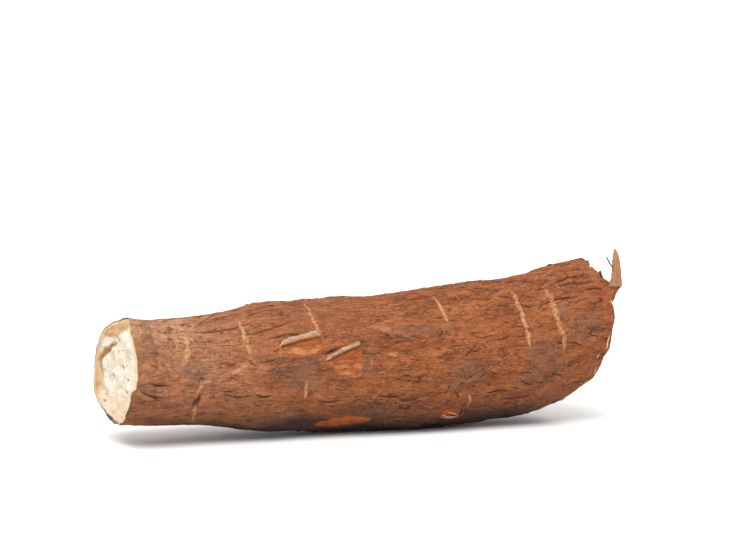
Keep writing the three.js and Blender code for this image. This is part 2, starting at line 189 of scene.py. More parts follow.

# Long folds and cracks that show best: path, width, depth. Painted shade darkens them.
FOLDS = [
    ([(-84.5, 122), (-76.5, 110), (-66, 91), (-54, 84)], 0.9, 0.7),
    ([(-86, 126), (-74, 129), (-61.5, 127.5), (-50, 121)], 0.9, 0.7),
    ([(-73.5, 113), (-57.5, 102), (-47, 104), (-36, 98)], 0.9, 0.6),
    ([(-67.5, 136), (-55.5, 138), (-42.5, 133), (-30, 127)], 0.8, 0.5),
    ([(-58, 100), (-48, 92), (-36, 88)], 0.8, 0.5),
    ([(-60, 118), (-50, 112), (-38, 110), (-28, 108)], 0.8, 0.5),
    ([(-51, 146.5), (-45, 145.2), (-39, 144.4), (-31, 144)], 1.1, 1.0),
    ([(-24.5, 165.5), (-21, 162.2), (-17.5, 160.2), (-13, 158.2)], 1.1, 1.0),
    ([(-113, 152), (-108, 155), (-103, 152)], 0.8, 0.4),
    ([(-111, 184.5), (-104, 187), (-98, 186)], 0.9, 0.5),
    ([(-114, 193.5), (-108.5, 200), (-101, 200)], 0.9, 0.6),
    ([(-74, 196), (-66, 199), (-58, 196)], 0.8, 0.4),
    ([(-58, 196), (-54, 199), (-49, 197)], 1.0, 0.6),
    ([(-27, 205), (-21, 208), (-14, 205)], 1.0, 0.6),
    ([(3, 199), (9, 201), (16, 198)], 0.9, 0.5),
    ([(12, 201), (18, 204), (24, 202)], 0.9, 0.5),
    ([(88.5, 140), (94.5, 137.5), (99, 138.5), (106, 142), (112, 142.5)], 1.2, 1.0),
    ([(80.5, 134), (83, 137), (86, 138)], 1.1, 0.9),
    ([(100, 120), (107, 120.8), (115, 123), (121, 122)], 1.2, 1.0),
    ([(98, 105), (105.5, 106), (114.5, 111.8), (122, 117)], 1.1, 0.9),
    ([(96, 126), (102.5, 126), (112.5, 129.8), (123, 133)], 1.1, 0.9),
    ([(111, 139), (117, 138), (124, 140)], 1.1, 0.9),
    ([(86, 113), (94, 111), (104, 114), (112, 113)], 1.0, 0.8),
    ([(84, 101), (96, 99), (108, 101), (120, 104)], 1.0, 0.8),
    ([(70, 120), (73, 123), (77, 126)], 1.0, 0.7),
    ([(57, 118), (62, 123), (69, 122)], 1.0, 0.7),
    ([(44, 116), (52, 118), (60, 115)], 0.9, 0.6),
    ([(62, 108), (72, 107), (84, 109)], 0.9, 0.7),
    ([(26, 112), (34, 109), (44, 111)], 0.9, 0.5),
    ([(104, 150), (110, 147), (116, 148)], 0.9, 0.6),
    ([(100, 226), (106, 223), (112, 225)], 1.0, 0.5),
    ([(68, 220), (76, 221), (84, 220)], 1.0, 0.7),
    ([(56, 212), (64, 210), (73, 213)], 0.8, 0.4),
]
# One deep hollow low on the thin end.
HOLLOW = (-85.5, 204)


def small_cracks(count):
    """Short cracks scattered over the bark, closer together towards the thick end."""
    rng = np.random.default_rng(61)
    cracks = []
    while len(cracks) < count:
        x, angle = rng.uniform(-112, 118), rng.uniform(0, 360)
        dense = 0.3 + 0.7 * (x > 30)
        if rng.uniform() > dense:
            continue
        length, slope, bow = rng.uniform(3, 12), rng.normal(0, 5), rng.normal(0, 2.5)
        path = [(x, angle), (x + length / 2, angle + slope / 2 + bow), (x + length, angle + slope)]
        cracks.append((path, rng.uniform(0.5, 0.85), rng.uniform(0.2, 0.6)))
    return cracks


SMALL_CRACKS = small_cracks(CRACK_COUNT)

# Grey weathered stains: middle, half length and half height.
STAINS = [
    (86, 190, 11, 17), (48, 190, 9, 14), (0, 219, 10, 12),
    (20, 20, 22, 25), (-60, 350, 18, 20), (-86, 172, 8, 9), (-34, 178, 15, 16),
    (-4, 176, 5, 12), (112, 171, 9, 11), (84, 204, 12, 9), (-43, 226, 16, 8),
    (26, 146, 14, 9), (99.5, 151, 5, 6), (85, 180, 8, 10),
    (-1, 163, 2.5, 4), (-5, 168, 2.5, 4),
]

# Splinter of bark that stands up from the rim of the broken end.
SPLINTER_FOOT = (126.5, 139)
SPLINTER_TURN = math.radians(-22)
SPLINTER_ACROSS = np.array([math.cos(SPLINTER_TURN), math.sin(SPLINTER_TURN), 0])
SPLINTER_BACK = np.array([-math.sin(SPLINTER_TURN), math.cos(SPLINTER_TURN), 0])
UPWARD = np.array([0, 0, 1])
SPLINTER_THICKNESS = 1.3
# Height, near edge, far edge and lean.
SPLINTER_SECTIONS = [
    (-11.5, -0.6, 0.4, 1.2),
    (-9, -2, 1.6, 0.9),
    (-6.1, -3.3, 3.2, 0.5),
    (-3.8, -3.5, 3.8, 0.3),
    (-1.1, -1.5, 5.4, 0),
    (0.4, 0.4, 6.7, 0),
    (1.6, 0.6, 6.9, 0.8),
    (5, 1.4, 6.6, 1),
    (9.5, 1.8, 6.3, 1.6),
    (14.4, 2.1, 5.5, 2.5),
    (16.8, 2.6, 4.8, 3),
    (18.8, 3.1, 4.0, 3.4),
]
# Dark hairs by the splinter: a place on the bark, where each starts across and
# up from it, how far it reaches, how much it bends, and its two radii.
HAIRS_BY_SPLINTER = [
    (SPLINTER_FOOT, (2.0, 9.7), (-3.1, 5.2), -0.3, (0.42, 0.34)),
    ((125.2, 127), (0, -0.5), (-0.9, 2.9), 0.2, (0.35, 0.75)),
]
# Slivers along the broken rim: middle angle, length, and how far in they lie.
TORN_RIM = [
    (188, 7.5, 1.4), (200, 2.6, 3.4), (214, 4.5, 1.6),
    (227, 5, 0.8), (249, 4, 0.6), (153, 1.6, 0.3),
]
# Slivers over one peeled place, as places and angles at their two ends.
TORN_PATCH = [(37.5, 223, 49, 234), (38, 226, 47, 235), (40, 221, 50, 231)]

# Camera, by the turn and dip of its view and the point in the picture's middle.
PICTURE_WIDTH = 731
CAMERA_TURN = -22
CAMERA_DIP = 5
CAMERA_DISTANCE = 1000
MM_PER_PIXEL = 0.49
AIM_ACROSS = 7.6
AIM_UP = 74.5
SENSOR = 36

# Floor and light: the floor's reach in metres, the angle and strength of the sun.
FLOOR_REACH = 6.0
FLOOR_GREY = (0.83, 0.827, 0.825, 1)
SKY_STRENGTH = 0.85
EXPOSURE = 0.35
KEY_PLACE = (-0.5, -0.7, 1.2)
KEY_WIDTH = 40
KEY_STRENGTH = 2.2
KEY_COLOUR = (1.0, 0.985, 0.965)


def seeded(seed):
    """Repeatable random numbers from 0 to 1."""
    full = 0xFFFFFFFF
    state = seed

    def draw():
        nonlocal state
        state = (state + 0x6D2B79F5) & full
        t = state
        t = ((t ^ (t >> 15)) * (t | 1)) & full
        t = t ^ ((t + (((t ^ (t >> 7)) * (t | 61)) & full)) & full)
        return ((t ^ (t >> 14)) & full) / 4294967296

    return draw


def wave_set(seed, count, turns, lengths):
    """Waves over the bark: whole turns round it and a wavelength along it."""
    draw = seeded(seed)
    waves = []
    for _ in range(count):
        around = math.floor(turns[0] + draw() * (turns[1] - turns[0] + 1))
        length = lengths[0] + draw() * (lengths[1] - lengths[0])
        sign = 1 if draw() < 0.5 else -1
        waves.append((around, sign * 2 * math.pi / length, draw() * 2 * math.pi))
    return waves


def wave_height(waves, x, angle):
    turn = np.radians(angle)
    return sum(np.cos(m * turn + k * x + phase) for m, k, phase in waves) * math.sqrt(2 / len(waves))


LUMPS = wave_set(11, 12, (1, 4), (70, 220))
WRINKLES = wave_set(29, 36, (7, 18), (45, 160))
CUT_WAVES = wave_set(5, 10, (1, 6), (9, 26))
BREAK_WAVES = wave_set(17, 14, (2, 6), (14, 40))
CREASES = wave_set(41, 14, (15, 22), (70, 220))


def through(a, b, c, d, t):
    """Smooth value a share t of the way from b to c, whose neighbours are a and d."""
    return b + 0.5 * t * (c - a + t * (2 * a - 5 * b + 4 * c - d + t * (3 * (b - c) + d - a)))


def between(values, x):
    """Smooth value at x between the stations of a list."""
    values = np.asarray(values, float)
    place = np.clip((np.asarray(x, float) - FIRST_STATION) / STATION_STEP, 0, len(values) - 1.000001)
    i = np.floor(place).astype(int)
    return through(*(values[np.clip(i + k, 0, len(values) - 1)] for k in (-1, 0, 1, 2)), place - i)


def turned(angle, centre):
    """How far an angle lies from another, from -180 to 180."""
    return (angle - centre + 180) % 360 - 180


def hump(value, width):
    """1 at 0, falling softly to nothing beyond a width."""
    return np.exp(-((value / width) ** 2))


def bell(angle, centre, width):
    return hump(turned(angle, centre), width)


def spot(u, v, middle, size):
    """1 in the middle of a soft oval spot, 0 well away from it."""
    return hump(u - middle[0], size[0]) * hump(v - middle[1], size[1])


def smooth(low, high, value):
    t = np.clip((value - low) / (high - low), 0, 1)
    return t * t * (3 - 2 * t)


def plateau(value, rise, fall):
    """1 between a rise and a fall, each given by where it starts and ends."""
    return smooth(*rise, value) * (1 - smooth(*fall, value))


def arch(share, start, span):
    """Height of an arch over a path, of which a start and a span are used."""
    return np.sin(np.pi * np.clip(start + span * share, 0, 1))


def unit(vectors):
    return vectors / np.linalg.norm(vectors, axis=-1, keepdims=True)


def bark_radius(x, angle):
    turn = np.radians(angle)
    oval = 0.018 * np.cos(2 * (turn - 0.6 - 0.008 * x)) + 0.014 * np.cos(3 * (turn + 1.1 + 0.011 * x))
    s = (x - SHOULDER_X) / SHOULDER_LENGTH
    shoulder = SHOULDER_HEIGHT * s * np.exp(-s * s) * bell(angle, 90, 50)
    share = smooth(60, 105, x) * bell(angle, 115, 30)
    creases = CREASE_DEPTH * share * np.abs(wave_height(CREASES, x, angle))
    wrinkles = WRINKLE_DEPTH * np.abs(wave_height(WRINKLES, x, angle))
    relief = LUMP_HEIGHT * wave_height(LUMPS, x, angle) - wrinkles + BARK_LIFT - creases
    return between(RADIUS, x) * (1 + oval) + relief + shoulder


def outward(angle):
    """Direction straight out from the axis."""
    turn = np.radians(angle)
    return np.stack([0 * turn, np.cos(turn), np.sin(turn)], -1)


def on_axis(x):
    return np.stack([x, between(AXIS_Y, x), between(AXIS_Z, x)], -1)


def on_bark(x, angle, lift=0.0):
    """Points on the bark, or lifted out of it by some millimetres."""
    x, angle = np.broadcast_arrays(np.asarray(x, float), np.asarray(angle, float))
    return on_axis(x) + (bark_radius(x, angle) + lift)[..., None] * outward(angle)


def thin_rim(angle):
    notch = NOTCH_DEPTH * plateau(angle % 360, NOTCH_START, NOTCH_END)
    slant = THIN_CUT_SLANT * np.cos(np.radians(angle))
    bevel = LOBE_BEVEL * bell(angle, *LOBE_ARC)
    return THIN_CUT_X - slant + bevel - notch - FAR_LIP * bell(angle, *FAR_LIP_ARC)


def thick_rim(angle):
    turn = np.radians(angle)
    askew = THICK_BREAK_RISE * np.sin(turn) - THICK_BREAK_SLANT * np.cos(turn)
    torn = sum(depth * bell(angle, middle, half) for middle, half, depth in RIM_TORN)
    return THICK_BREAK_X + askew + RIM_WAVE * np.sin(11 * turn) * np.sin(3 * turn) - torn


def lobe_share(across, up, blur):
    """Share of the tan lobe at the top of the sawn face: its edge rises on the near side."""
    edge = LOBE_BOTTOM + LOBE_RISE * smooth(-4, -9, across)
    return smooth(-blur, blur, up - edge) * smooth(-13, -9, across)


def thin_face(across, up):
    slant = -THIN_CUT_SLANT * across / RADIUS[0]
    lobe = lobe_share(across, up, 0.8)
    bevel = LOBE_BEVEL * smooth(LOBE_BOTTOM, RADIUS[0], up)
    strip = smooth(19, 21.5, np.hypot(across, up)) * smooth(6, 14, across)
    rough = CUT_ROUGHNESS * wave_height(CUT_WAVES, up, across * 6)
    return THIN_CUT_X + slant - LOBE_STEP * lobe + bevel - CORTEX_STEP * strip + rough


def thick_face(across, up):
    slant = (THICK_BREAK_RISE * up - THICK_BREAK_SLANT * across) / RADIUS[-1]
    tongue = BREAK_TONGUE * spot(across, up, TONGUE_PLACE, TONGUE_SIZE)
    rough = BREAK_ROUGHNESS * wave_height(BREAK_WAVES, up, across * 4)
    return THICK_BREAK_X + slant + tongue - BREAK_INSET + rough


def lattice(ix, iy, iz, seed):
    """Repeatable value from -1 to 1 at each whole-number point."""
    full = np.uint64(0xFFFFFFFF)
    h = (ix * 374761393 + iy * 668265263 + iz * 1440662683 + seed * 1274126177).astype(np.int64)
    h = h.astype(np.uint64) & full
    h = ((h ^ (h >> np.uint64(13))) * np.uint64(1274126177)) & full
    h = ((h ^ (h >> np.uint64(15))) * np.uint64(2246822519)) & full
    h = h ^ (h >> np.uint64(16))
    return (h & np.uint64(0xFFFF)).astype(float) / 32767.5 - 1


def noise(points, size, seed, octaves=1):
    """Soft noise in space: size is the wavelength, or one along each axis."""
    total = np.zeros(points.shape[:-1])
    for octave in range(octaves):
        p = points / (np.asarray(size, float) / 2**octave) + 17.3 * octave
        cell = np.floor(p).astype(np.int64)
        f = p - cell
        f = f * f * (3 - 2 * f)
        for corner in np.ndindex(2, 2, 2):
            w = np.where(corner, f, 1 - f)
            value = lattice(*np.moveaxis(cell + corner, -1, 0), seed + octave)
            total += 0.5**octave * w[..., 0] * w[..., 1] * w[..., 2] * value
    return total


def smooth_path(path, spacing=1.0):
    """Evenly spread points on a smooth curve through a short list of points."""
    given = np.asarray(path, float)
    padded = np.vstack([2 * given[0] - given[1], given, 2 * given[-1] - given[-2]])
    points = []
    for a, b, c, d in zip(padded, padded[1:], padded[2:], padded[3:]):
        steps = max(2, int(np.hypot(c[0] - b[0], (c[1] - b[1]) * 0.55) / spacing) + 1)
        points += [through(a, b, c, d, t) for t in np.arange(steps) / steps]
    points.append(given[-1])
    return np.array(points)


def path_distance(u, v, path):
    """Distance from each (u, v) to a path, and the share of the path there."""
    best = np.full(u.shape, 1e9)
    share = np.zeros(u.shape)
    steps = np.hypot(*(path[1:] - path[:-1]).T)
    run = np.concatenate([[0], np.cumsum(steps)]) / steps.sum()
    for k, (a, b) in enumerate(zip(path, path[1:])):
        d = b - a
        t = np.clip(((u - a[0]) * d[0] + (v - a[1]) * d[1]) / (d @ d), 0, 1)
        distance = np.hypot(u - a[0] - t * d[0], v - a[1] - t * d[1])
        closer = distance < best
        best = np.where(closer, distance, best)
        share = np.where(closer, run[k] + t * (run[k + 1] - run[k]), share)
    return best, share


def inside(u, v, outline):
    """Signed distance into an outline: above 0 inside it."""
    loop = np.vstack([outline, outline[:1]])
    distance, _ = path_distance(u, v, loop)
    crossings = np.zeros(u.shape, bool)
    for a, b in zip(loop, loop[1:]):
        spans = (a[1] > v) != (b[1] > v)
        at = a[0] + (v - a[1]) * (b[0] - a[0]) / (b[1] - a[1] + 1e-12)
        crossings ^= spans & (u < at)
    return np.where(crossings, distance, -distance)


def near(x, angle, path):
    """Which of many bark places lie near a path, as an index array."""
    margin = 6
    low, high = np.min(path, 0), np.max(path, 0)
    middle, half = (low[1] + high[1]) / 2, (high[1] - low[1]) / 2
    along = (x > low[0] - margin) & (x < high[0] + margin)
    return np.nonzero(along & (np.abs(turned(angle, middle)) < half + 2 * margin))


def flat_place(x, angle, path):
    """Bark places and a path, both laid flat in millimetres round the path."""
    path = np.asarray(path, float)
    middle = (path[:, 1].min() + path[:, 1].max()) / 2
    scale = float(between(RADIUS, path[:, 0].mean())) * math.pi / 180
    flat = np.stack([path[:, 0], (path[:, 1] - middle) * scale], -1)
    return x, turned(angle, middle) * scale, flat


def bark_grain(points, x, angle):
    """Wrinkles, layers of thin skin and grain, less the hair-thin cracks, and those cracks."""
    warp = np.stack([noise(points, (30, 12, 12), seed, 2) for seed in (3, 4, 5)], -1)
    bent = points + warp * (3, 1.6, 1.6)
    ridges = 1 - np.abs(noise(bent, (26, 5, 5), 21, 2))
    strong = 0.25 + 0.75 * smooth(-0.2, 0.5, noise(points, (40, 24, 24), 9, 2))
    strong += 1.1 * smooth(55, 95, x) * bell(angle, 112, 30)
    strong += 0.7 * plateau(x, (-85, -60), (-40, -20)) * bell(angle, 105, 28)
    relief = RIDGE_HEIGHT * strong * (ridges**3 - 0.45)
    layers = noise(bent, (11, 6, 6), 31, 3)
    relief += SKIN_STEP * (smooth(0.06, 0.12, layers) + smooth(0.36, 0.42, layers) - 0.8)
    relief += GRAIN_HEIGHT * noise(points, (5, 1.7, 1.7), 41, 2)
    relief += SWELL_HEIGHT * noise(points, (22, 13, 13), 51, 2)
    cracks = 1 - smooth(0.02, 0.075, np.abs(noise(bent, (17, 3.6, 3.6), 61, 2)))
    cracks *= smooth(0.0, 0.35, noise(points, (28, 16, 16), 71, 2))
    cracks *= 0.55 + 0.45 * smooth(-60, 20, x)
    return relief - CRACK_DEPTH * cracks, cracks


def deepen(tint, name, at, amount):
    """Raise a tint to an amount at some places, where it is below it."""
    tint[name][at] = np.maximum(tint[name][at], amount)


def beside(x, angle, path):
    """Which bark places lie near a path, and they and the smooth path laid flat."""
    at = near(x, angle, path)
    return at, *flat_place(x[at], angle[at], smooth_path(path, 2))


def add_folds(relief, tint, points, x, angle):
    """Folds and cracks, each with a low lip on both sides, darkened with painted shade."""
    for path, width, depth in FOLDS + SMALL_CRACKS:
        at, u, v, flat = beside(x, angle, path)
        wobble = 0.35 * noise(points[at], 7, 81, 2)
        distance, share = path_distance(u, v + wobble, flat)
        fade = np.sin(np.pi * np.clip(share, 0.03, 0.97)) ** 0.6
        amount = hump(distance, 0.5 * width) * fade
        lip = hump(distance - 1.3 * width, 0.6 * width) * fade * ((share > 0) & (share < 1))
        relief[at] += depth * (0.35 * lip - 1.2 * amount)
        deepen(tint, "fold_shade", at, amount)


def add_scars(relief, tint, points, x, angle):
    """Corky scars that stand out of the bark, uneven along their length."""
    for path, width, height in SCARS:
        at, u, v, flat = beside(x, angle, path)
        wobble = 0.5 * noise(points[at], (2.2, 3.2, 3.2), 91, 2)
        distance, share = path_distance(u + wobble, v, flat)
        broken = 0.88 + 0.45 * noise(points[at], (2.5, 2.2, 2.2), 101, 2)
        swell = arch(share, 0.08, 0.84) ** 0.6
        amount = hump(distance, 0.6 * width) * swell * np.clip(broken, 0, 1.1)
        relief[at] += 1.15 * height * amount
        strength = 1.15 if width > 0.9 else 0.5
        deepen(tint, "scar", at, np.clip(amount * strength, 0, 1))


def add_peeled(relief, tint, points, x, angle):
    """Places that have peeled to the orange inside of the bark, with a low rim."""
    for outline, pale, bright in PEELED:
        at = near(x, angle, outline)
        u, v, flat = flat_place(x[at], angle[at], outline)
        depth = inside(u, v, flat) + 0.55 * noise(points[at], 3, 111, 2)
        amount = smooth(-0.2, 0.5, depth)
        rim = hump(depth + 0.7, 0.5)
        relief[at] = relief[at] * (1 - 0.8 * amount) - PEEL_DEPTH * amount + 0.25 * rim
        relief[at] += 0.12 * amount * noise(points[at], (6, 1.3, 1.3), 121, 2)
        # The darker upper part of the places under a curl is partly painted shade.
        below = smooth(0.36, 0.58, (v - flat[:, 1].min()) / np.ptp(flat[:, 1]))
        deepen(tint, "peel", at, amount)
        deepen(tint, "lower", at, pale * below * (depth > -0.5))
        deepen(tint, "bright", at, bright * amount)
        tint["scar"][at] *= 1 - amount


def add_hollow(relief, tint, x, angle):
    """The deep hollow, which slants down the root, darkened with painted shade."""
    u, v, _ = flat_place(x, angle, [HOLLOW, HOLLOW])
    pit = spot(u + 0.4 * v, v, (HOLLOW[0], 0), (1.5, 3.2))
    relief -= 1.3 * pit
    deepen(tint, "fold_shade", ..., 1.2 * pit)
    tint["scar"] *= 1 - np.clip(1.2 * pit, 0, 1)


def add_stains(tint, points, x, angle):
    """Grey stains with ragged edges."""
    ragged = 0.8 * noise(points, (12, 9, 9), 131, 3)
    for middle_x, middle_angle, length, height in STAINS:
        reach = ((x - middle_x) / length) ** 2 + (turned(angle, middle_angle) / height) ** 2
        deepen(tint, "stain", ..., 1 - smooth(0.35, 1.35, reach + ragged))


def fine_bark(x, angle):
    """Fine relief of the bark and the shares that tint it."""
    points = on_bark(x, angle)
    relief, cracks = bark_grain(points, x, angle)
    tint = {name: np.zeros(x.shape) for name in ("scar", "peel", "fold_shade", "stain", "lower", "bright")}
    add_folds(relief, tint, points, x, angle)
    add_scars(relief, tint, points, x, angle)
    add_peeled(relief, tint, points, x, angle)
    add_hollow(relief, tint, x, angle)
    deepen(tint, "fold_shade", ..., 0.75 * cracks)
    add_stains(tint, points, x, angle)
    return relief, tint


def link(value, target, tree):
    """Set an input, or lead another node's output into it."""
    if isinstance(value, bpy.types.NodeSocket):
        tree.links.new(value, target)
    else:
        target.default_value = value


class Look:
    """A node material with short calls for the nodes that it uses."""

    def __init__(self, name):
        self.material = bpy.data.materials.new(name)
        self.material.use_nodes = True
        self.tree = self.material.node_tree
        self.shader = next(n for n in self.tree.nodes if n.type == "BSDF_PRINCIPLED")
        self.place = self.tree.nodes.new("ShaderNodeTexCoord").outputs["Object"]

    def node(self, kind, settings=(), **inputs):
        made = self.tree.nodes.new(kind)
        for key, value in dict(settings).items():
            setattr(made, key, value)
        for key, value in inputs.items():
            link(value, made.inputs[key.replace("_", " ")], self.tree)
        return made

    def stretched(self, along, across=1.0, up=None):
        """Place in millimetres, drawn out where a factor is below 1."""
        scale = (along / MM, across / MM, (across if up is None else up) / MM)
        return self.node("ShaderNodeMapping", Vector=self.place, Scale=scale).outputs["Vector"]

    def noise(self, vector, scale, detail=4.0, rough=0.6, warp=0.0):
        return self.node(
            "ShaderNodeTexNoise", Vector=vector, Scale=scale, Detail=detail, Roughness=rough, Distortion=warp
        ).outputs["Fac"]

    def ramp(self, value, stops):
        made = self.node("ShaderNodeValToRGB", Fac=value)
        ramp = made.color_ramp
        while len(ramp.elements) < len(stops):
            ramp.elements.new(0.5)
        for element, (position, colour) in zip(ramp.elements, stops):
            element.position = position
            level = colour if isinstance(colour, tuple) else (colour,) * 3
            element.color = (*level, 1)
        return made.outputs["Color"]

    def mix(self, share, first, second, way="MIX"):
        first, second = ((*c, 1) if isinstance(c, tuple) else c for c in (first, second))
        made = self.node("ShaderNodeMixRGB", {"blend_type": way}, Fac=share, Color1=first, Color2=second)
        return made.outputs[0]

    def cover(self, colour, value, stops, over):
        """A colour with another laid over it, by a ramp of shares."""
        return self.mix(self.ramp(value, stops), colour, over)

    def shade(self, colour, value, stops, share):
        """A colour made darker and lighter by a ramp."""
        return self.mix(share, colour, self.ramp(value, stops), "MULTIPLY")

    def math(self, what, *values):
        made = self.node("ShaderNodeMath", {"operation": what})
        for value, target in zip(values, made.inputs):
            link(value, target, self.tree)
        return made.outputs[0]

    def masked(self, share, value, stops):
        """A share made weaker by a ramp."""
        return self.math("MULTIPLY", share, self.ramp(value, stops))

    def total(self, *parts):
        """Sum of values, each with its weight."""
        so_far = 0.0
        for value, weight in parts:
            so_far = self.math("ADD", so_far, self.math("MULTIPLY", value, weight))
        return so_far

    def tint(self, colour, *layers):
        """A colour with others laid over it, each by a share of the mesh."""
        for name, over in layers:
            colour = self.mix(self.share(name), colour, over)
        return colour

    def share(self, name):
        return self.node("ShaderNodeAttribute", {"attribute_name": name}).outputs["Fac"]

    def line(self, value, width):
        """1 where a noise crosses its middle, in a thin line."""
        off = self.math("ABSOLUTE", self.math("SUBTRACT", value, 0.5))
        return self.math("SUBTRACT", 1.0, self.math("MINIMUM", self.math("DIVIDE", off, width), 1.0))

    def finish(self, colour, rough, height, strength=0.5, depth=0.4):
        bump = self.node("ShaderNodeBump", Strength=strength, Distance=depth * MM, Height=height)
        link(colour, self.shader.inputs["Base Color"], self.tree)
        link(rough, self.shader.inputs["Roughness"], self.tree)
        link(bump.outputs["Normal"], self.shader.inputs["Normal"], self.tree)
        self.shader.inputs["Specular IOR Level"].default_value = 0.28
        return self.material


BARK_DARK = (0.098, 0.028, 0.010)
BARK_BROWN = (0.155, 0.047, 0.0155)
BARK_ORANGE = (0.236, 0.071, 0.0205)
BARK_TAN = (0.285, 0.103, 0.037)
BARK_PALE = (0.380, 0.205, 0.115)
BARK_GREY = (0.130, 0.070, 0.045)
BARK_WARMTH = (0.98, 0.89, 0.76)
INNER_ORANGE = (0.300, 0.070, 0.012)
INNER_BRIGHT = (0.430, 0.100, 0.016)
INNER_TAN = (0.400, 0.158, 0.055)
SCAR_PALE = (0.450, 0.235, 0.112)
FLESH = (0.54, 0.450, 0.335)
FLESH_WHITE = (0.70, 0.650, 0.575)
FLESH_DEEP = (0.57, 0.405, 0.235)
CORTEX_LIGHT = (0.42, 0.245, 0.10)
CORTEX_TAN = (0.30, 0.135, 0.042)
RIM_CREAM = (0.57, 0.42, 0.245)
# Brown of specks and torn fibres, also painted shade in the groove and on ledges.
BROWN_AND_SHADE = (0.22, 0.09, 0.028)
# Painted shade for cracks, dashes and folds.
CRACK_SHADE = (0.045, 0.014, 0.007)
DASH_SHADE = (0.072, 0.021, 0.008)
FOLD_SHADE = (0.045, 0.013, 0.006)
# Dark earth and painted shade, low on the root.
EARTH_AND_SHADE = (0.030, 0.014, 0.009)
INNER_DARK = (0.21, 0.052, 0.012)
SPLINTER_FOLD_SHADE = (0.12, 0.036, 0.013)
SPECK_BROWN = (0.27, 0.20, 0.12)
FACE_EDGE = (0.060, 0.024, 0.011)
# Colours by the level of a noise or share.
BARK_TONES = [
    (0.27, BARK_DARK), (0.39, BARK_BROWN), (0.49, BARK_ORANGE), (0.62, BARK_TAN), (0.82, BARK_PALE),
]
FLAKE_TONES = [(0.1, BARK_BROWN), (0.5, (0.205, 0.068, 0.023)), (0.9, (0.265, 0.100, 0.040))]
CURL_TONES = [(0.32, (0.23, 0.133, 0.075)), (0.5, (0.345, 0.215, 0.13)), (0.68, (0.47, 0.32, 0.205))]
SPLINTER_TONES = [(0.3, (0.185, 0.088, 0.042)), (0.5, (0.265, 0.133, 0.066)), (0.7, (0.345, 0.185, 0.096))]
DRY_TONES = [(0.4, (0.20, 0.088, 0.038)), (0.6, (0.43, 0.235, 0.115))]
HAIR_TONES = [(0.4, (0.030, 0.018, 0.014)), (0.6, (0.085, 0.055, 0.042))]
TORN_TONES = [(0.35, (0.40, 0.22, 0.11)), (0.6, (0.60, 0.42, 0.25))]


